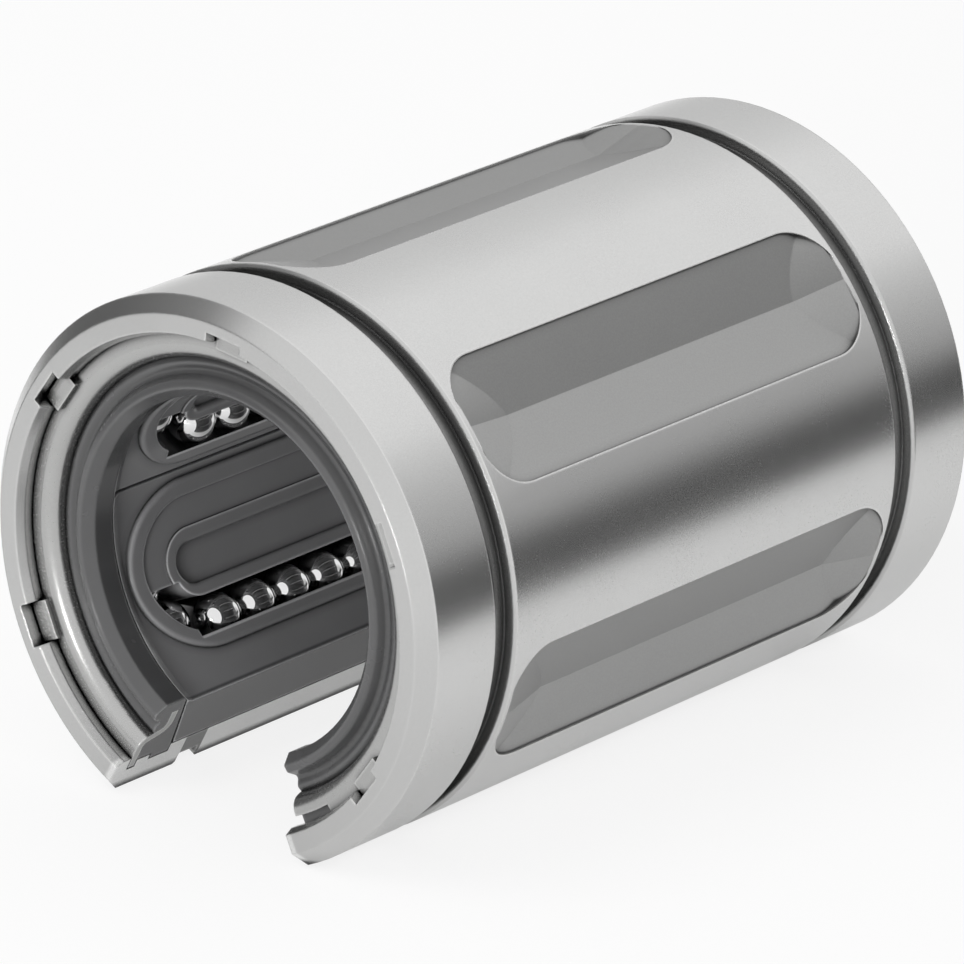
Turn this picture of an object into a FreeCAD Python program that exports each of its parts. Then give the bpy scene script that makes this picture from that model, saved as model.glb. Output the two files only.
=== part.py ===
import FreeCAD, Part
import math
import os

from FreeCAD import Vector

# Open linear ball bushing for a round shaft. Millimetres, +Z up.
# The shaft axis runs along Y through the origin, which is the middle of the bushing.
# The front end faces -Y, and the lengthwise opening faces -Z.
# Angles are in degrees about the axis, from +Z towards +X.
# Both ends are alike, so most distances are measured inwards from an end face.

# Main sizes
shaft_d = 25.0
length = 58.0
sleeve_wall = 2.6
opening_half_angle = 26.5

# Outside of the sleeve
edge_chamfer = 1.1
groove_from_face = 6.95
groove_width = 1.85
groove_depth = 1.0
groove_chamfer = 0.2

# Mouth of the sleeve at each end: rim, ring groove, ridge and seal seat
mouth_rise = 0.15
mouth_chamfer = 0.3
mouth_chamfer_length = 0.7
rim_thickness = 1.35
ring_groove_depth = 0.9
ring_groove_width = 0.8
ridge_depth = 0.25
ridge_width = 1.25
seal_seat_depth = 0.7
seal_seat_width = 2.0

# Pressed pockets over the loaded ball rows
pocket_to_groove = 0.25
pocket_half_width = 4.78
pocket_depth = 1.1
pocket_side_depth = 0.2
pocket_end_slope = 13.0
pocket_corner_r = 3.6
race_flat_width = 3.0
race_side_run = 1.8
race_end_slope = 42.5
race_short_of_ball = 0.3

# Balls and their circuits
ball_d = 3.5
ball_gap = 0.04
turn_gap = 0.17
circuits = 5
circuit_shift = 4.5
race_clearance = 0.05
track_clearance = 0.13
floor_clearance = 0.12

# Cage
cage_clearance = 0.1
cage_inset = 0.15
cage_end_lean = 0.75
cage_end_wall = 0.35
crest_clearance = 0.25
track_roof = 0.43
bead_height = 0.45
bead_to_bead = 0.75
bead_margin = 0.32
bead_round = 0.3
bead_shift = 2.0
ridge_top_width = 1.3
rim_width = 1.05
roof_recess = 0.15
slot_side_slope = 30.0
slot_end_offset = 0.5
island_margin = 0.47
collar_rise = 0.3
collar_length = 0.8
crease_width = 0.5
crease_depth = 0.25

# Sheet metal end rings
sheet = 0.6
ring_bend_r = 0.8
ring_clearance = 0.15
ring_flange = 2.35
ring_step_length = 2.25
ring_step_fall = 0.6
ring_over_shaft = 1.1
tab_width = 3.0
tab_clearance = 0.1
tab_rise = 0.7
tab_root = 0.6
tab_below_face = 1.0
relief_angle = 11.5
relief_depth = 0.6

# Rubber end seals
lip_from_face = 1.75
lip_land_length = 1.7
lip_back = 0.25
lip_back_round = 0.1
lip_front_round = 0.2
seal_clearance = 0.1
seal_to_cage = 0.2

# Front of a seal, from the lip outwards: distance behind the front of the lip,
# share of the way from the shaft to the sheet, and corner round
seal_front = [
    (0.1, 0.23, 0.2), (0.2, 0.4, 0.25),
    (1.05, 0.56, 0.3), (0.7, 0.78, 0.3),
    (1.0, 1.0, 0.0),
]

# Radii, worked out from the shaft outwards
shaft_r = shaft_d / 2
ball_r = ball_d / 2
loaded_r = shaft_r + ball_r
race_r = loaded_r + ball_r + race_clearance
crest_r = shaft_r + crest_clearance
panel_r = crest_r + bead_height
floor_r = crest_r + track_roof
circuit_pitch = 360.0 / (circuits + 1)
bead_half_width = crest_r * math.sin(math.radians(circuit_pitch / 2)) - bead_to_bead / 2
track_outer = bead_half_width - bead_margin
track_radius = track_outer - track_clearance - ball_r
track_inner = track_radius - ball_r - track_clearance
turn_height = floor_r + floor_clearance + ball_r
turn_reach = math.hypot(turn_height, track_radius) + ball_r
bore_r = math.ceil(10 * (turn_reach + cage_clearance)) / 10
cage_r = bore_r - cage_clearance
race_root_r = bore_r + sleeve_wall / 4
outer_r = bore_r + sleeve_wall
mouth_r = bore_r - mouth_rise
ring_groove_r = bore_r + ring_groove_depth
ridge_r = bore_r + ridge_depth
seal_seat_r = bore_r + seal_seat_depth
tab_r = bore_r + tab_rise
beyond = 2 * outer_r

# Distances from an end face, worked out inwards
half_length = length / 2
groove_end = groove_from_face + groove_width
pocket_from_face = groove_end + groove_chamfer + pocket_to_groove
ring_groove_end = rim_thickness + ring_groove_width
seat_start = ring_groove_end + ridge_width
seat_end = seat_start + seal_seat_width
cage_outer_end = seat_end + cage_inset
cage_inner_end = cage_outer_end - cage_end_lean
flange_middle = rim_thickness + (sheet + ring_clearance) / 2

# Loaded row, and as many balls in a turn as fit in its half circle
loaded_offset = math.degrees(math.asin(track_radius / loaded_r))
loaded_height = math.sqrt(loaded_r ** 2 - track_radius ** 2)
ball_pitch = ball_d + ball_gap
balls_per_turn = int(math.pi * track_radius / ball_pitch)
turn_step = 2 * math.asin(ball_pitch / 2 / track_radius)

# A row stands off the turns by the gap between its first ball and the last ball of a turn
last_turn_angle = turn_step * (balls_per_turn - 1) / 2
last_turn_side = track_radius * (1 - math.sin(last_turn_angle))
row_to_last_turn_ball = math.sqrt((ball_d + turn_gap) ** 2 - last_turn_side ** 2)
row_to_turn = row_to_last_turn_ball - track_radius * math.cos(last_turn_angle)

# As many balls in a row as fit between the ends of the cage
first_ball_least = cage_outer_end + cage_end_wall + track_outer + row_to_turn
balls_per_row = 1 + int((length - 2 * first_ball_least) / ball_pitch)
first_ball = half_length - ball_pitch * (balls_per_row - 1) / 2
turn_from_face = first_ball - row_to_turn
race_from_face = first_ball + race_short_of_ball


# Placing and outlines

def circuit_angles():
    """One place of the full ring is left out at the opening."""
    first = circuit_shift - circuit_pitch * (circuits - 1) / 2
    return [first + circuit_pitch * k for k in range(circuits)]


def row_angles():
    return [angle - loaded_offset for angle in circuit_angles()]


def turned(shape, angle):
    copy = shape.copy()
    copy.rotate(Vector(0, 0, 0), Vector(0, 1, 0), angle)
    return copy


def rear_copy(shape):
    return shape.mirror(Vector(0, 0, 0), Vector(0, 1, 0))


def at_y(from_face):
    return from_face - half_length


def corner_arc(last, corner, follow, radius):
    """The round of one corner: its start, its end and its edge, or no edge on a sharp corner."""
    if radius == 0.0:
        return corner, corner, None
    to_last = (last - corner).normalize()
    to_next = (follow - corner).normalize()
    half = to_last.getAngle(to_next) / 2
    start = corner + to_last * (radius / math.tan(half))
    end = corner + to_next * (radius / math.tan(half))
    inward = (to_last + to_next).normalize()
    middle = corner + inward * (radius / math.sin(half) - radius)
    return start, end, Part.Arc(start, middle, end).toShape()


def section(points):
    """A closed face in the plane x = 0, from (distance from face, radius, corner round) points."""
    corners = [Vector(0, at_y(point[0]), point[1]) for point in points]
    count = len(corners)
    arcs = []
    for i, point in enumerate(points):
        radius = point[2] if len(point) > 2 else 0.0
        arcs.append(corner_arc(corners[i - 1], corners[i], corners[(i + 1) % count], radius))
    edges = []
    for i, (start, end, arc) in enumerate(arcs):
        follow = arcs[(i + 1) % count][0]
        if arc:
            edges.append(arc)
        if (follow - end).Length > 1e-6:
            edges.append(Part.makeLine(end, follow))
    return Part.Face(Part.Wire(edges))


def revolved(points):
    """A full turn of the outline, with the seam of its surfaces in the opening."""
    return turned(section(points).revolve(Vector(0, 0, 0), Vector(0, 1, 0), 360), 180)


def both_ends(points):
    """The outline points of the front half, then the same points for the rear half."""
    return points + [(length - point[0], point[1]) for point in reversed(points)]


def tube(inner, outer, start, end):
    return revolved([(start, inner), (end, inner), (end, outer), (start, outer)])


def block_along_y(points, start, end):
    """A straight block with an outline of (sideways, height) points."""
    corners = [Vector(x, at_y(start), z) for x, z in points]
    face = Part.Face(Part.makePolygon(corners + corners[:1]))
    return face.extrude(Vector(0, end - start, 0))


def stadium(half_width, low, high):
    """A slot-shaped block round the track of a circuit at the top, between two heights."""
    run = half_length - turn_from_face
    side = Vector(half_width, 0, 0)
    past = Vector(0, half_width, 0)
    front = Vector(0, -run, low)
    rear = Vector(0, run, low)
    edges = [
        Part.makeLine(front + side, rear + side),
        Part.Arc(rear + side, rear + past, rear - side).toShape(),
        Part.makeLine(rear - side, front - side),
        Part.Arc(front - side, front - past, front + side).toShape(),
    ]
    return Part.Face(Part.Wire(edges)).extrude(Vector(0, 0, high - low))


def opening_wedge():
    """The space of the lengthwise opening, with both of its faces in line with the axis."""
    half = math.radians(opening_half_angle)
    side = beyond * math.sin(half)
    low = -beyond * math.cos(half)
    return block_along_y([(0, 0), (side, low), (-side, low)], -half_length, length + half_length)


# Sleeve

def is_upright(edge):
    along = edge.Vertexes[0].Point - edge.Vertexes[1].Point
    return abs(along.x) < 1e-6 and abs(along.y) < 1e-6


def pocket_cutter():
    """Two shallow facets that meet in a line, with a cone about the shaft axis at each end."""
    side_height = math.sqrt(outer_r ** 2 - pocket_half_width ** 2) - pocket_side_depth
    outline = [
        (-pocket_half_width, beyond), (-pocket_half_width, side_height),
        (0.0, outer_r - pocket_depth),
        (pocket_half_width, side_height), (pocket_half_width, beyond),
    ]
    block = block_along_y(outline, pocket_from_face, length - pocket_from_face)
    upright = [edge for edge in block.Edges if is_upright(edge)]
    corners = [edge for edge in upright if abs(edge.Vertexes[0].X) > pocket_half_width / 2]
    block = block.makeFillet(pocket_corner_r, corners)
    drop = 2 * pocket_depth
    cone_end = pocket_from_face + drop / math.tan(math.radians(pocket_end_slope))
    cone = revolved([
        (groove_end, 0.0), (cone_end, 0.0), (cone_end, outer_r - drop),
        (pocket_from_face, outer_r), (groove_end, outer_r),
    ])
    return block.cut([cone, rear_copy(cone)])


def race_rib(clearance=0.0):
    """The inward side of a pocket, which carries the loaded balls."""
    half_flat = race_flat_width / 2 + clearance
    half_foot = half_flat + race_side_run
    low = race_r - clearance
    foot = bore_r - clearance
    ramp = (bore_r - race_r) / math.tan(math.radians(race_end_slope))
    start = race_from_face - ramp - clearance
    outline = [
        (-half_foot, race_root_r), (-half_foot, foot), (-half_flat, low),
        (half_flat, low), (half_foot, foot), (half_foot, race_root_r),
    ]
    rib = block_along_y(outline, start, length - start)
    envelope = revolved(both_ends([(start, beyond), (start, foot), (start + ramp, low)]))
    return rib.common(envelope)


def tab_notches():
    half = tab_width / 2
    outline = [(-half, 0.0), (half, 0.0), (half, tab_r), (-half, tab_r)]
    notch = block_along_y(outline, -rim_thickness, rim_thickness)
    front = [turned(notch, angle) for angle in circuit_angles()]
    return front + [rear_copy(shape) for shape in front]


def outer_sleeve():
    groove_r = outer_r - groove_depth
    outside = [
        (0.0, mouth_r + mouth_chamfer), (0.0, outer_r - edge_chamfer), (edge_chamfer, outer_r),
        (groove_from_face - groove_chamfer, outer_r),
        (groove_from_face, outer_r - groove_chamfer), (groove_from_face, groove_r),
        (groove_end, groove_r), (groove_end, outer_r - groove_chamfer),
        (groove_end + groove_chamfer, outer_r),
    ]
    inside = [
        (mouth_chamfer_length, mouth_r), (rim_thickness, mouth_r),
        (rim_thickness, ring_groove_r), (ring_groove_end, ring_groove_r),
        (ring_groove_end, ridge_r), (seat_start, ridge_r),
        (seat_start, seal_seat_r), (seat_end, seal_seat_r), (seat_end, bore_r),
    ]
    shape = revolved(both_ends(outside) + list(reversed(both_ends(inside))))
    shape = shape.fuse([turned(race_rib(), angle) for angle in row_angles()])
    shape = shape.cut([turned(pocket_cutter(), angle) for angle in row_angles()])
    return shape.cut(tab_notches() + [opening_wedge()])


# Cage

def bead_edges(shape):
    """The edges of the raised beads, on the crest radius."""
    found = []
    for edge in shape.Edges:
        middle = edge.valueAt((edge.FirstParameter + edge.LastParameter) / 2)
        on_crest = abs(math.hypot(middle.x, middle.z) - crest_r) < 1e-3
        inside = abs(middle.y) < half_length - cage_outer_end
        if on_crest and inside:
            found.append(edge)
    return found


def bead_angles():
    return [angle + bead_shift for angle in circuit_angles()]


def band(outer, inner):
    """The space between two slot-shaped outlines of these half widths."""
    return stadium(outer, 0.0, beyond).cut(stadium(inner, -beyond, 2 * beyond))


def cage_body():
    """A tube with conical ends whose wall is sunk beside and inside the beads of the circuits."""
    shape = revolved(both_ends([(cage_outer_end, cage_r), (cage_inner_end, crest_r)]))
    sunk = revolved(both_ends([
        (0.0, shaft_r / 2), (0.0, panel_r - collar_rise),
        (cage_inner_end, panel_r - collar_rise), (cage_inner_end + collar_length, panel_r),
    ]))
    island = track_inner - island_margin
    bead = band(bead_half_width, island)
    shape = shape.cut(sunk.cut([turned(bead, angle) for angle in bead_angles()]))
    shape = shape.makeFillet(bead_round, bead_edges(shape))
    roof = band(bead_half_width - ridge_top_width, island + rim_width)
    roof = roof.common(tube(0.0, crest_r + roof_recess, 0.0, length))
    return shape.cut([turned(roof, angle) for angle in bead_angles()])


def slot_side_height(side):
    """The height of the slot's outer side, which just clears the loaded balls."""
    slope = math.radians(slot_side_slope)
    below_balls = loaded_height - (ball_r + track_clearance) / math.cos(slope)
    return below_balls + (side - track_radius) * math.tan(slope)


def slot_half_width():
    """Where the outer side of the slot meets the crest radius."""
    slope = math.radians(slot_side_slope)
    near = slot_side_height(0.0) * math.cos(slope)
    return math.sqrt(crest_r ** 2 - near ** 2) * math.cos(slope) - near * math.sin(slope)


def circuit_cutters():
    """The closed ball track of the top circuit and the slot from its loaded row to the shaft."""
    inner_wall = stadium(track_inner, -beyond, 2 * beyond)
    channel = stadium(track_outer, floor_r, beyond).cut(inner_wall)
    half_width = slot_half_width()
    slot = stadium(half_width, 0.0, beyond).cut(inner_wall)
    corner = Vector(-slot_end_offset - beyond, -half_length, 0)
    slot = slot.common(Part.makeBox(beyond, length, beyond, corner))
    low = shaft_r / 2
    outline = [
        (-track_inner, floor_r), (-track_inner, low), (-half_width, low),
        (-half_width, slot_side_height(half_width)), (-track_outer, slot_side_height(track_outer)),
        (-track_outer, floor_r),
    ]
    start = first_ball - ball_d
    return [channel, slot, block_along_y(outline, start, length - start),
            turned(race_rib(cage_clearance), -loaded_offset)]


def crease_cutter():
    half = crease_width / 2
    edge = panel_r - crease_depth
    return block_along_y([(-half, edge), (0.0, panel_r + crease_depth), (half, edge)], 0.0, length)


def ball_cage():
    shape = cage_body()
    for angle in circuit_angles():
        shape = shape.cut([turned(cutter, angle) for cutter in circuit_cutters()])
    creases = [turned(crease_cutter(), angle + circuit_pitch / 2) for angle in bead_angles()[:-1]]
    return shape.cut(creases + [opening_wedge()])


# End rings

def ring_path():
    """The middle line of the stepped sheet, from its rim to its inner edge."""
    step = flange_middle + ring_step_length
    rim = ring_groove_r - ring_clearance
    return [
        (flange_middle, rim), (flange_middle, rim - ring_flange),
        (step, rim - ring_flange - ring_step_fall), (step, shaft_r + ring_over_shaft),
    ]


def sheet_outline():
    """The outline of the bent sheet round its middle line, with no round at its two ends."""
    points = [Vector(place[0], place[1], 0) for place in ring_path()]
    ways = [(points[i + 1] - points[i]).normalize() for i in range(len(points) - 1)]
    left = []
    right = []
    for i, point in enumerate(points):
        before = ways[max(i - 1, 0)]
        after = ways[min(i, len(ways) - 1)]
        normal = (Vector(-before.y, before.x, 0) + Vector(-after.y, after.x, 0)).normalize()
        mitre = normal * (sheet / 2 / normal.dot(Vector(-after.y, after.x, 0)))
        bend = before.cross(after).z
        bends_left = (bend > 0) - (bend < 0)
        middle_r = ring_bend_r * abs(bends_left)
        left.append((point.x + mitre.x, point.y + mitre.y, middle_r - bends_left * sheet / 2))
        right.append((point.x - mitre.x, point.y - mitre.y, middle_r + bends_left * sheet / 2))
    return left + list(reversed(right))


def sheet_ring():
    return revolved(sheet_outline())


def ring_tab():
    half = tab_width / 2 - tab_clearance
    low = mouth_r - tab_root
    outline = [(-half, low), (half, low), (half, beyond), (-half, beyond)]
    tab = block_along_y(outline, tab_below_face, flange_middle)
    return tab.common(tube(0.0, tab_r - tab_clearance, 0.0, flange_middle))


def end_ring():
    """The front ring, with a tab in each notch and its rim cut back beside the opening."""
    ring = sheet_ring().fuse([turned(ring_tab(), angle) for angle in circuit_angles()])
    relief = tube(mouth_r - relief_depth, beyond, 0.0, flange_middle + sheet)
    relief = relief.common(turned(opening_wedge(), -relief_angle))
    return ring.cut([relief, opening_wedge()]).removeSplitter()


# End seals

def ring_radius_at(from_face):
    """The radius of the sheet's middle line on its sloping step."""
    start, end = ring_path()[1], ring_path()[2]
    share = (from_face - start[0]) / (end[0] - start[0])
    return start[1] + share * (end[1] - start[1])


def end_seal():
    """Rubber behind and inside the front ring, down to the lip that runs on the shaft."""
    flange_back = flange_middle + sheet / 2
    held = seat_start + seal_clearance
    held_end = seat_end - seal_clearance
    back = cage_inner_end - seal_to_cage
    land_end = back - lip_back
    rise = ring_radius_at(lip_from_face + seal_front[-1][0]) - shaft_r
    outline = [
        (flange_back, ring_radius_at(flange_back)),
        (flange_back, ridge_r - seal_clearance), (held, ridge_r - seal_clearance),
        (held, seal_seat_r - seal_clearance), (held_end, seal_seat_r - seal_clearance),
        (held_end, cage_r), (back, crest_r),
        (land_end, shaft_r, lip_back_round), (land_end - lip_land_length, shaft_r, lip_front_round),
    ]
    for behind, share, corner_round in seal_front:
        outline.append((lip_from_face + behind, shaft_r + share * rise, corner_round))
    return revolved(outline).cut([sheet_ring(), opening_wedge()])


# Balls

def ball_at(side, from_face, height):
    return Part.makeSphere(ball_r, Vector(side, at_y(from_face), height))


def row_places():
    return [first_ball + ball_pitch * i for i in range(balls_per_row)]


def loaded_row():
    return [ball_at(-track_radius, place, loaded_height) for place in row_places()]


def return_row():
    return [ball_at(track_radius, place, turn_height) for place in row_places()]


def turn():
    """The balls in the front turn of the top circuit, evenly spaced about its middle."""
    balls = []
    for i in range(balls_per_turn):
        angle = turn_step * (i - (balls_per_turn - 1) / 2)
        place = turn_from_face - track_radius * math.cos(angle)
        balls.append(ball_at(track_radius * math.sin(angle), place, turn_height))
    return balls


def save(name, shape):
    shape.exportStep("parts/" + name + ".step")
    print(name, len(shape.Solids), "solids", round(shape.Volume, 2), "mm3, valid", shape.isValid())


def main():
    os.makedirs("parts", exist_ok=True)
    save("outer_sleeve", outer_sleeve())
    save("ball_cage", ball_cage())
    save("front_end_ring", end_ring())
    save("rear_end_ring", rear_copy(end_ring()))
    save("front_seal", end_seal())
    save("rear_seal", rear_copy(end_seal()))
    for number, angle in enumerate(circuit_angles(), 1):
        groups = {"loaded_balls": loaded_row(), "return_balls": return_row(),
                  "front_turn_balls": turn(), "rear_turn_balls": [rear_copy(ball) for ball in turn()]}
        for name, balls in groups.items():
            placed = [turned(ball, angle) for ball in balls]
            save("%s_%d" % (name, number), Part.makeCompound(placed))


main()
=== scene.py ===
import math

import bpy
from mathutils import Matrix, Vector


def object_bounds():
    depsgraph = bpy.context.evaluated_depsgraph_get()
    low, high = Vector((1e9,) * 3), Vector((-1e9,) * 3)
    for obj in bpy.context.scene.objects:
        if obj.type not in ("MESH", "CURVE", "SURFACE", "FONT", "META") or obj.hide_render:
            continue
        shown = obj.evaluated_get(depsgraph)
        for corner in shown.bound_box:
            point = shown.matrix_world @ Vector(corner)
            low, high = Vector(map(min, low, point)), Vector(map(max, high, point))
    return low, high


bl_info = {
    "name": "Open linear ball bushing",
    "version": (1, 0, 0),
    "blender": (4, 5, 0),
    "location": "3D View > Sidebar > Bushing",
    "description": "Finishes the steel, plastic, rubber and balls of the bushing, and lights it",
    "category": "Object",
}

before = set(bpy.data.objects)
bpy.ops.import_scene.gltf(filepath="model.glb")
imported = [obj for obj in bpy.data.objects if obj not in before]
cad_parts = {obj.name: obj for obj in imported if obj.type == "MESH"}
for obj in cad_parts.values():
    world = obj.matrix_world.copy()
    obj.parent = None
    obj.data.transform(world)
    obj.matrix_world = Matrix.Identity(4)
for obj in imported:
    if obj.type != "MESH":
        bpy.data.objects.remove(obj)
cad_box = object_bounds()

MM = 0.001
WHITE = (1.0, 1.0, 1.0, 1.0)
BALL_GROUPS = ("loaded", "return", "front_turn", "rear_turn")

# The form of the sleeve that its finish follows. Ends along the shaft are distances from the
# sleeve's middle, and degrees run round the shaft from the top towards the right. The circuits
# are spaced as if one more stood in the opening.
CIRCUITS = 5
FIRST_POCKET = -131.0
POCKET_END = 19.85 * MM
GROOVE_END = 22.0 * MM
GROOVE_SHOULDER = 0.25 * MM
OPENING_EDGE = 153.5
BLUR = 0.02 * MM

# Marks to the metre in the finishes
STEEL_CLOUDS = 160.0
GRINDING_LINES = (120.0, 9000.0, 120.0)
RING_CLOUDS = 240.0
MOULD_TEXTURE = 5200.0
MOULD_FLOW = 210.0
RUBBER_TEXTURE = 7000.0
RUBBER_BLOOM = 320.0
BALL_HAZE = 900.0

# Heights of the fine relief
STEEL_RELIEF = 0.0015 * MM
RING_RELIEF = 0.001 * MM
MOULD_RELIEF = 0.003 * MM
RUBBER_RELIEF = 0.004 * MM

OIL_ROUGHNESS = 0.12

# The studio
FLOOR_WHITE = 0.82
FLOOR_IN_STEEL = 0.3
WORLD_LIGHT = 0.7
CAMERA_PLACE = (0.3327, -0.3888, 0.2063)
CAMERA_RIGHT = (0.75193, 0.65872, 0.02641)
CAMERA_AHEAD = (-0.60334, 0.70374, -0.37515)
LAMPS = (
    dict(name="key_lamp", place=(-0.12, -0.42, 0.6), size=(0.4, 0.3), reflected=False),
    dict(name="fill_lamp", place=(0.2, -0.76, 0.1), size=(0.3, 0.2), reflected=False),
    dict(name="spark_lamp", place=(0.22, -0.82, 0.07), size=(0.1, 0.1), reflected=True),
)
# Side is a card's place across the shaft, and reach its near and far end along it. Its brightness
# goes from low to middle between the two heights, and from there to white at its top.
CARDS = (
    dict(name="right_card", side=74 * MM, reach=(0.0, 400 * MM), top=105 * MM,
         low=0.07, middle=0.46, heights=(3 * MM, 20 * MM)),
    dict(name="back_card", side=-74 * MM, reach=(0.0, 400 * MM), top=220 * MM,
         low=1.25, middle=0.68, heights=(-10 * MM, 22 * MM)),
    dict(name="left_card", side=-90 * MM, reach=(-200 * MM, -5 * MM), top=200 * MM,
         low=0.15, middle=0.3, heights=(20 * MM, 110 * MM)),
)


# Sizes and colours that a user would change

def length_of(name, default, description):
    return bpy.props.FloatProperty(name=name, default=default, description=description,
                                   unit="LENGTH", subtype="DISTANCE", precision=5)


def share_of(name, default, description):
    return bpy.props.FloatProperty(name=name, default=default, description=description,
                                   min=0.0, max=1.0, subtype="FACTOR")


def colour_of(name, default, description):
    return bpy.props.FloatVectorProperty(name=name, default=default, description=description,
                                         min=0.0, max=1.0, subtype="COLOR")


def power_of(name, default, description):
    return bpy.props.FloatProperty(name=name, default=default, description=description,
                                   min=0.0, unit="POWER")


class BushingFinish(bpy.types.PropertyGroup):
    """The finishes of the bushing's pieces."""

    steel: colour_of("Steel", (0.69, 0.69, 0.685), "Colour of the ground sleeve")
    steel_roughness: share_of("Ground roughness", 0.26, "Roughness of the ground outer surface")
    # The pressed shade is partly the duller tone of pressed steel and partly painted shade.
    pressed_tone_and_painted_shade: share_of(
        "Pressed shade", 0.48, "Brightness of the pressed pockets beside the ground steel")
    pressed_roughness: share_of("Pressed roughness", 0.38, "Roughness of the pressed pockets")
    hollow: bpy.props.FloatProperty(
        name="Pocket hollow", default=12.0, min=0.0, max=30.0,
        description="Degrees by which the pockets' facets shade steeper")
    turned_shade: share_of(
        "Turned shade", 0.86, "Brightness of the turned end faces beside the ground steel")
    turned_roughness: share_of("Turned roughness", 0.24, "Roughness of the turned end faces")
    # The groove shade is painted shade inside the grooves.
    groove_painted_shade: share_of(
        "Groove shade", 0.3, "Brightness of the oily grooves beside the ground steel")
    ring_steel: colour_of("Ring steel", (0.5, 0.5, 0.495), "Colour of the pressed end rings")
    ring_roughness: share_of("Ring roughness", 0.26, "Roughness of the pressed end rings")
    plastic: colour_of("Cage plastic", (0.165, 0.165, 0.168), "Colour of the moulded cage")
    plastic_roughness: share_of("Plastic roughness", 0.22, "Roughness of the moulded cage")
    rubber: colour_of("Seal rubber", (0.05, 0.05, 0.051), "Colour of the end seals")
    rubber_roughness: share_of("Rubber roughness", 0.25, "Roughness of the end seals")
    ball: colour_of("Balls", (0.78, 0.78, 0.78), "Colour of the polished balls")
    ball_roughness: share_of("Ball roughness", 0.06, "Roughness of the polished balls")
    oil_film: share_of("Oil film", 0.5, "How much oil covers the cage and the seals")
    sleeve_round: length_of("Sleeve edges", 0.22 * MM, "Round on the edges of the sleeve")
    ring_round: length_of("Ring edges", 0.09 * MM, "Round on the edges of the end rings")
    moulded_round: length_of(
        "Moulded edges", 0.32 * MM, "Round on the edges of the cage and the seals")
    # This width is how far the painted shade in gaps and corners reaches.
    gap: length_of("Gap", 0.7 * MM, "Width of the gaps and corners that hold dark oil")
    # This width is that of the painted highlight along the edges.
    edge_highlight_width: length_of("Highlighted edge", 0.2 * MM, "Width of the paler line along the edges")
    grain: length_of("Grain", 0.12 * MM, "Width of one mark of the steel's satin grain")


class BushingStage(bpy.types.PropertyGroup):
    """The floor, the lamps and the camera."""

    floor: colour_of("Floor", (0.92, 0.92, 0.92), "Colour of the plain floor")
    floor_half: length_of("Floor half width", 6.0, "Half the width of the floor")
    lens: bpy.props.FloatProperty(name="Focal length", default=297.4, min=1.0, unit="CAMERA",
                                  description="Focal length on a sensor 36 mm wide")
    key_power: power_of("Key lamp", 1.2, "Power of the large lamp overhead")
    fill_power: power_of("Fill lamp", 4.0, "Power of the soft lamp in front of the bushing")
    spark_power: power_of(
        "Spark lamp", 0.7, "Power of the small lamp that the balls and the oil reflect")


# Materials

class Value:
    """An output socket of a shader node. Python's operators on it add Math nodes."""

    def __init__(self, shader, socket):
        self.shader = shader
        self.socket = socket

    def combine(self, operation, first, second):
        return self.shader.node("ShaderNodeMath", {"operation": operation}, {0: first, 1: second})

    def __add__(self, other):
        return self.combine("ADD", self, other)

    __radd__ = __add__

    def __sub__(self, other):
        return self.combine("SUBTRACT", self, other)

    def __rsub__(self, other):
        return self.combine("SUBTRACT", other, self)

    def __mul__(self, other):
        return self.combine("MULTIPLY", self, other)

    __rmul__ = __mul__

    def power(self, exponent):
        return self.combine("POWER", self, exponent)

    def maximum(self, other):
        return self.combine("MAXIMUM", self, other)

    def size(self):
        """The number without its sign."""
        return self.combine("ABSOLUTE", self, 0.0)

    def wrapped(self, period):
        """What is left above a whole number of periods."""
        return self.shader.node(
            "ShaderNodeMath", {"operation": "WRAP"}, {0: self, 1: period, 2: 0.0})

    def angle_to(self, across):
        return self.combine("ARCTAN2", across, self)


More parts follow.
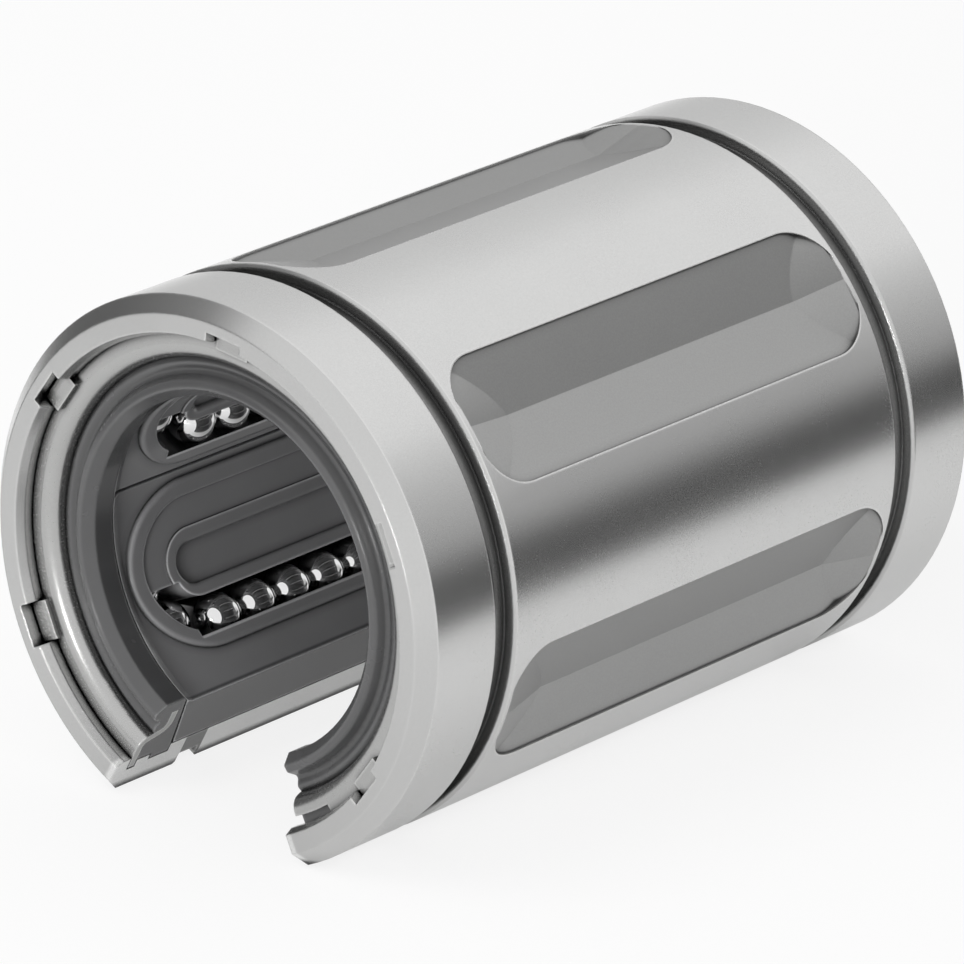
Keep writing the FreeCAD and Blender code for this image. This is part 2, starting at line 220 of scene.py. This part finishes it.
class Shader:
    """A node tree that is built by one method."""

    def __init__(self, owner):
        owner.use_nodes = True
        self.tree = owner.node_tree
        self.tree.nodes.clear()

    def node(self, kind, settings, inputs, output=0):
        made = self.tree.nodes.new(kind)
        for name, value in settings.items():
            setattr(made, name, value)
        for key, value in inputs.items():
            if isinstance(value, Value):
                self.tree.links.new(value.socket, made.inputs[key])
            else:
                made.inputs[key].default_value = value
        return Value(self, made.outputs[output]) if made.outputs else None

    def place(self):
        return self.node("ShaderNodeTexCoord", {}, {}, "Object")

    def parts(self, vector):
        """The three numbers of a vector."""
        return [self.node("ShaderNodeSeparateXYZ", {}, {0: vector}, axis) for axis in "XYZ"]

    def noise(self, place, scale, detail=2.0, roughness=0.5):
        return self.node("ShaderNodeTexNoise", {}, {
            "Vector": place, "Scale": scale, "Detail": detail, "Roughness": roughness}, "Fac")

    def stretched(self, place, scale):
        return self.node("ShaderNodeMapping", {}, {"Vector": place, "Scale": scale})

    def blend(self, share, first, second):
        """A mix of two colours by a share from 0 to 1."""
        return self.node(
            "ShaderNodeMix", {"data_type": "RGBA"}, {0: share, 6: first, 7: second}, 2)

    def steps(self, share, low, high):
        """A share that rises smoothly from 0 at low to 1 at high."""
        return self.node("ShaderNodeMapRange", {"interpolation_type": "SMOOTHSTEP"}, {
            "Value": share, "From Min": low, "From Max": high})

    def ramp(self, share, low, high):
        """A share that rises evenly from 0 at low to 1 at high."""
        return self.node("ShaderNodeMapRange", {}, {
            "Value": share, "From Min": low, "From Max": high})

    def openness(self, distance, inside):
        """How far the surface is open within this distance, seen from outside or from inside."""
        return self.node(
            "ShaderNodeAmbientOcclusion", {"samples": 4, "inside": inside, "only_local": inside},
            {"Distance": distance}, "AO")

    def hidden(self, distance):
        """A share from 0 in the open to 1 deep in a gap or corner of this width."""
        return 1.0 - self.steps(self.openness(distance, False), 0.45, 0.93)

    def on_edge(self, width):
        """A share that rises to 1 along the outer edges, over this width."""
        return 1.0 - self.steps(self.openness(width, True), 0.4, 0.9)

    def rounded(self, radius):
        """The surface's direction with its sharp edges rounded off."""
        return self.node("ShaderNodeBevel", {"samples": 4}, {"Radius": radius})

    def bump(self, height, distance, radius):
        """Fine relief of this height over rounded edges."""
        return self.node("ShaderNodeBump", {}, {
            "Height": height, "Distance": distance, "Normal": self.rounded(radius)})

    def background_rays(self, in_steel=1.0):
        """1 to the camera and through clear things, and this share in reflections."""
        camera, glossy, clear = [
            self.node("ShaderNodeLightPath", {}, {}, "Is %s Ray" % kind)
            for kind in ("Camera", "Glossy", "Transmission")]
        return camera.maximum(glossy * in_steel).maximum(clear)

    def glow(self, strength):
        return self.node("ShaderNodeEmission", {}, {"Color": WHITE, "Strength": strength})

    def finish_with(self, inputs):
        self.surface(self.node("ShaderNodeBsdfPrincipled", {}, inputs, "BSDF"))

    def surface(self, shader):
        self.node("ShaderNodeOutputMaterial", {}, {"Surface": shader})


def opaque(colour):
    return shaded(colour, 1.0)


def shaded(colour, factor):
    return (colour[0] * factor, colour[1] * factor, colour[2] * factor, 1.0)


def new_material(name):
    material = bpy.data.materials.new(name)
    return material, Shader(material)


def beside_opening(shader, angle):
    """A share that is 1 on the faces cut by the opening."""
    return shader.steps(
        angle.size(), math.radians(OPENING_EDGE - 2.0), math.radians(OPENING_EDGE - 1.0))


def paint_edge_highlight_and_gap_shade(shader, finish, colour, base, pale, dark, share=1.0):
    """The colour with a painted highlight along its edges and painted shade in its gaps and
    corners.
    """
    # Painted highlight: the colour turns paler along the outer edges.
    colour = shader.blend(shader.on_edge(finish.edge_highlight_width) * share, colour, shaded(base, pale))
    # Painted shade: the colour turns darker deep in gaps and corners.
    return shader.blend(shader.hidden(finish.gap), colour, shaded(base, dark))


def ground_steel(finish):
    """Ground on the outside, turned at the ends, and darker where the pockets are pressed, partly
    as painted shade, with painted shade in the grooves and a painted highlight on the cut faces.
    """
    material, shader = new_material("ground_steel")
    steel = finish.steel
    place = shader.place()
    across, along, up = shader.parts(place)
    radius = (across * across + up * up).power(0.5)
    angle = up.angle_to(across)

    outer = cad_box[1][0]
    ground = shader.steps(radius, outer - 3 * BLUR, outer - BLUR)
    formed = 1.0 - ground
    beyond_pockets = shader.steps(along.size(), POCKET_END - BLUR, POCKET_END + BLUR)
    between_pocket_ends = 1.0 - beyond_pockets
    before_groove_end = 1.0 - shader.steps(along.size(), GROOVE_END - BLUR, GROOVE_END)
    below_shoulder = 1.0 - shader.steps(
        radius, outer - 2 * GROOVE_SHOULDER, outer - GROOVE_SHOULDER)
    cut = formed * beside_opening(shader, angle)
    pressed = formed * between_pocket_ends * (1.0 - cut)
    turned = formed * beyond_pockets
    in_groove = below_shoulder * before_groove_end * beyond_pockets

    grain = shader.noise(place, 1.0 / finish.grain, 3.0, 0.6)
    cloud = shader.noise(place, STEEL_CLOUDS, 3.0, 0.55)
    lines = shader.noise(shader.stretched(place, GRINDING_LINES), 1.0, 2.0, 0.6)
    # Darker pockets: partly the duller tone of pressed steel, partly painted shade.
    colour = shader.blend(pressed, opaque(steel), shaded(steel, finish.pressed_tone_and_painted_shade))
    colour = shader.blend(turned, colour, shaded(steel, finish.turned_shade))
    # Painted highlight: the faces cut by the opening are a lighter copy of the steel.
    colour = shader.blend(cut, colour, shaded(steel, 1.35))
    # Painted shade: the inside of the grooves is darker.
    colour = shader.blend(in_groove, colour, shaded(steel, finish.groove_painted_shade))
    stain = cloud * 0.16 + shader.steps(grain, 0.3, 0.7) * 0.2
    colour = shader.blend(stain, colour, shaded(steel, 0.72))
    # Painted highlight along the edges and painted shade in the gaps and corners.
    colour = paint_edge_highlight_and_gap_shade(shader, finish, colour, steel, pale=1.45, dark=0.08, share=0.7)

    smooth = finish.steel_roughness
    roughness = smooth + pressed * (finish.pressed_roughness - smooth)
    roughness = roughness + turned * (finish.turned_roughness - smooth)
    roughness = roughness + (grain - 0.5) * 0.08 + (cloud - 0.5) * 0.05

    marks = (lines * ground * 0.6 + grain) * STEEL_RELIEF
    pitch = math.radians(360.0 / (CIRCUITS + 1))
    turn = angle - (math.radians(FIRST_POCKET) - pitch / 2)
    from_middle = (turn.wrapped(pitch) - pitch / 2).size()
    hollow = from_middle * radius * (pressed * math.tan(math.radians(finish.hollow)))
    shader.finish_with({
        "Base Color": colour, "Metallic": 1.0, "Roughness": roughness,
        "Normal": shader.bump(marks + hollow, 1.0, finish.sleeve_round)})
    return material


def ring_steel(finish):
    """Pressed sheet steel with a soft satin grain."""
    material, shader = new_material("pressed_ring_steel")
    steel = finish.ring_steel
    place = shader.place()
    grain = shader.noise(place, 1.0 / finish.grain, 3.0, 0.6)
    cloud = shader.noise(place, RING_CLOUDS)
    colour = shader.blend(cloud * 0.3, opaque(steel), shaded(steel, 0.8))
    # Painted highlight along the edges and painted shade in the gaps and corners.
    colour = paint_edge_highlight_and_gap_shade(shader, finish, colour, steel, pale=1.8, dark=0.06, share=0.7)
    shader.finish_with({
        "Base Color": colour, "Metallic": 1.0,
        "Roughness": finish.ring_roughness + (grain - 0.5) * 0.1,
        "Normal": shader.bump(grain, RING_RELIEF, finish.ring_round)})
    return material


def cage_plastic(finish):
    """Oily moulded plastic with a faint eroded texture from its mould."""
    material, shader = new_material("moulded_cage_plastic")
    plastic = finish.plastic
    place = shader.place()
    across, _, up = shader.parts(place)
    texture = shader.noise(place, MOULD_TEXTURE)
    flow = shader.noise(place, MOULD_FLOW, 3.0)
    colour = shader.blend(flow * 0.5, opaque(plastic), shaded(plastic, 1.35))
    # Painted shade: the faces cut by the opening are a darker copy of the plastic.
    cut = beside_opening(shader, up.angle_to(across))
    colour = shader.blend(cut, colour, shaded(plastic, 0.4))
    # Painted highlight along the edges and painted shade in the gaps and corners.
    colour = paint_edge_highlight_and_gap_shade(shader, finish, colour, plastic, pale=4.2, dark=0.15)
    roughness = finish.plastic_roughness + (flow - 0.5) * 0.12 + (texture - 0.5) * 0.06
    shader.finish_with({
        "Base Color": colour, "Roughness": roughness,
        "Coat Weight": finish.oil_film, "Coat Roughness": OIL_ROUGHNESS,
        "Normal": shader.bump(texture, MOULD_RELIEF, finish.moulded_round)})
    return material


def seal_rubber(finish):
    """Oily moulded rubber with a faint bloom."""
    material, shader = new_material("moulded_seal_rubber")
    rubber = finish.rubber
    place = shader.place()
    texture = shader.noise(place, RUBBER_TEXTURE, 3.0, 0.6)
    bloom = shader.noise(place, RUBBER_BLOOM, 3.0)
    colour = shader.blend(bloom * 0.5, opaque(rubber), shaded(rubber, 1.5))
    # Painted highlight along the edges and painted shade in the gaps and corners.
    colour = paint_edge_highlight_and_gap_shade(shader, finish, colour, rubber, pale=4.0, dark=0.15)
    shader.finish_with({
        "Base Color": colour, "Roughness": finish.rubber_roughness + (bloom - 0.5) * 0.14,
        "Coat Weight": finish.oil_film, "Coat Roughness": OIL_ROUGHNESS,
        "Normal": shader.bump(texture, RUBBER_RELIEF, finish.moulded_round)})
    return material


def ball_steel(finish):
    """Polished bearing steel with a slight haze."""
    material, shader = new_material("polished_ball_steel")
    haze = shader.noise(shader.place(), BALL_HAZE, 3.0, 0.6)
    shader.finish_with({
        "Base Color": shader.blend(haze * 0.2, opaque(finish.ball), shaded(finish.ball, 0.85)),
        "Metallic": 1.0, "Roughness": finish.ball_roughness + (haze - 0.5) * 0.05})
    return material


def floor_paint(colour):
    """A pale floor that keeps the shadow, whiter to the camera than in the steel."""
    material, shader = new_material("pale_floor")
    matt = shader.node("ShaderNodeBsdfDiffuse", {}, {"Color": opaque(colour)})
    share = shader.background_rays(FLOOR_IN_STEEL) * FLOOR_WHITE
    shader.surface(
        shader.node("ShaderNodeMixShader", {}, {0: share, 1: matt, 2: shader.glow(1.0)}))
    return material


def card_cloth(name, low, middle, heights, top):
    """Cloth that goes from low to middle brightness between two heights, and to white on top."""
    material, shader = new_material(name)
    up = shader.parts(shader.place())[2]
    strength = low + shader.steps(up, heights[0], heights[1]) * (middle - low)
    strength = strength + shader.ramp(up, heights[1], top) * (1.0 - middle)
    shader.surface(shader.glow(strength))
    return material


# Pieces

def paint(piece, material):
    piece.data.materials.clear()
    piece.data.materials.append(material)


class DressOperator(bpy.types.Operator):
    """Gives CAD nodes their finish."""

    bl_options = {"REGISTER", "UNDO"}
    nodes = ()

    def material(self, finish):
        raise NotImplementedError

    def execute(self, context):
        material = self.material(context.scene.bushing_finish)
        for name in self.nodes:
            paint(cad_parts[name], material)
        return {"FINISHED"}


class BUSHING_OT_sleeve(DressOperator):
    """Grind the outside of the sleeve, and leave its pockets and grooves pressed and turned"""

    bl_idname = "bushing.sleeve"
    bl_label = "Sleeve"
    nodes = ("outer_sleeve",)

    def material(self, finish):
        return ground_steel(finish)


class BUSHING_OT_cage(DressOperator):
    """Give the moulded cage its dark plastic"""

    bl_idname = "bushing.cage"
    bl_label = "Cage"
    nodes = ("ball_cage",)

    def material(self, finish):
        return cage_plastic(finish)


class BUSHING_OT_end_rings(DressOperator):
    """Give both end rings their pressed sheet steel"""

    bl_idname = "bushing.end_rings"
    bl_label = "End rings"
    nodes = ("front_end_ring", "rear_end_ring")

    def material(self, finish):
        return ring_steel(finish)


class BUSHING_OT_seals(DressOperator):
    """Give both end seals their rubber"""

    bl_idname = "bushing.seals"
    bl_label = "Seals"
    nodes = ("front_seal", "rear_seal")

    def material(self, finish):
        return seal_rubber(finish)


class BUSHING_OT_balls(DressOperator):
    """Polish the balls of all circuits"""

    bl_idname = "bushing.balls"
    bl_label = "Balls"
    nodes = tuple("%s_balls_%d" % (group, number)
                  for group in BALL_GROUPS for number in range(1, CIRCUITS + 1))

    def material(self, finish):
        return ball_steel(finish)


# Stage

def aimed(place, target):
    """The matrix of a lamp or card at a place that looks at a target along its own -Z."""
    back = (place - target).normalized()
    side = Vector((0.0, 0.0, 1.0)).cross(back).normalized()
    turn = Matrix((side, back.cross(side), back)).transposed().to_4x4()
    return Matrix.Translation(place) @ turn


def add_to_scene(scene, name, data):
    made = bpy.data.objects.new(name, data)
    scene.collection.objects.link(made)
    return made


def add_lamp(scene, power, name, place, size, reflected):
    """A flat lamp that points at the bushing."""
    data = bpy.data.lights.new(name, "AREA")
    data.shape = "RECTANGLE"
    data.size, data.size_y = size
    data.energy = power
    lamp = add_to_scene(scene, name, data)
    lamp.matrix_world = aimed(Vector(place), Vector((0.0, 0.0, 0.0)))
    lamp.visible_glossy = reflected


def add_plane(name, size, matrix, material):
    """A flat sheet of the studio, with its place in its mesh."""
    bpy.ops.mesh.primitive_plane_add(size=size)
    sheet = bpy.context.active_object
    sheet.name = name
    sheet.data.transform(matrix)
    paint(sheet, material)
    return sheet


def add_card(name, side, reach, top, low, middle, heights):
    """An upright card beside the bushing, from the floor up, that only reflections see."""
    floor = cad_box[0][2]
    near, far = reach
    place = Vector((side, (near + far) / 2, (floor + top) / 2))
    upright = aimed(place, Vector((0.0, place.y, place.z)))
    shape = Matrix.Diagonal((far - near, top - floor, 1.0, 1.0))
    cloth = card_cloth(name + "_cloth", low, middle, heights, top)
    card = add_plane(name, 1.0, upright @ shape, cloth)
    card.visible_camera = False
    card.visible_diffuse = False
    card.visible_shadow = False
    card.visible_transmission = False


class BUSHING_OT_stage(bpy.types.Operator):
    """Add the pale floor, the lamps, the cards and the camera"""

    bl_idname = "bushing.stage"
    bl_label = "Stage"
    bl_options = {"REGISTER", "UNDO"}

    def execute(self, context):
        stage = context.scene.bushing_stage
        floor_place = Matrix.Translation((0.0, 0.0, cad_box[0][2]))
        add_plane("floor", 2.0 * stage.floor_half, floor_place, floor_paint(stage.floor))
        powers = (stage.key_power, stage.fill_power, stage.spark_power)
        for power, lamp in zip(powers, LAMPS):
            add_lamp(context.scene, power, **lamp)
        for card in CARDS:
            add_card(**card)
        self.add_world(context.scene)
        self.add_camera(context.scene, stage)
        return {"FINISHED"}

    def add_world(self, scene):
        scene.world = bpy.data.worlds.new("studio")
        shader = Shader(scene.world)
        strength = WORLD_LIGHT + shader.background_rays() * (1.0 - WORLD_LIGHT)
        sky = shader.node("ShaderNodeBackground", {}, {"Color": WHITE, "Strength": strength})
        shader.node("ShaderNodeOutputWorld", {}, {"Surface": sky})
        scene.view_settings.view_transform = "Standard"

    def add_camera(self, scene, stage):
        data = bpy.data.cameras.new("camera")
        data.sensor_width = 36.0
        data.lens = stage.lens
        data.clip_start = 0.01
        data.clip_end = 50.0
        camera = add_to_scene(scene, "camera", data)
        right = Vector(CAMERA_RIGHT).normalized()
        ahead = Vector(CAMERA_AHEAD).normalized()
        up = right.cross(ahead).normalized()
        turn = Matrix((right, up, -ahead)).transposed().to_4x4()
        camera.matrix_world = Matrix.Translation(CAMERA_PLACE) @ turn
        scene.camera = camera


class BUSHING_PT_panel(bpy.types.Panel):
    """The bushing's finishes and the steps that apply them"""

    bl_label = "Linear ball bushing"
    bl_idname = "BUSHING_PT_panel"
    bl_space_type = "VIEW_3D"
    bl_region_type = "UI"
    bl_category = "Bushing"

    def draw(self, context):
        layout = self.layout
        for group in (context.scene.bushing_finish, context.scene.bushing_stage):
            box = layout.box()
            for name in group.__annotations__:
                box.prop(group, name)
        for operator in OPERATORS:
            layout.operator(operator.bl_idname)


OPERATORS = (
    BUSHING_OT_sleeve,
    BUSHING_OT_cage,
    BUSHING_OT_end_rings,
    BUSHING_OT_seals,
    BUSHING_OT_balls,
    BUSHING_OT_stage,
)
CLASSES = (BushingFinish, BushingStage) + OPERATORS + (BUSHING_PT_panel,)


def register():
    for made in CLASSES:
        bpy.utils.register_class(made)
    bpy.types.Scene.bushing_finish = bpy.props.PointerProperty(type=BushingFinish)
    bpy.types.Scene.bushing_stage = bpy.props.PointerProperty(type=BushingStage)


def unregister():
    del bpy.types.Scene.bushing_stage
    del bpy.types.Scene.bushing_finish
    for made in reversed(CLASSES):
        bpy.utils.unregister_class(made)


def main():
    register()
    bpy.ops.bushing.sleeve()
    bpy.ops.bushing.cage()
    bpy.ops.bushing.end_rings()
    bpy.ops.bushing.seals()
    bpy.ops.bushing.balls()
    bpy.ops.bushing.stage()


if __name__ == "__main__":
    main()
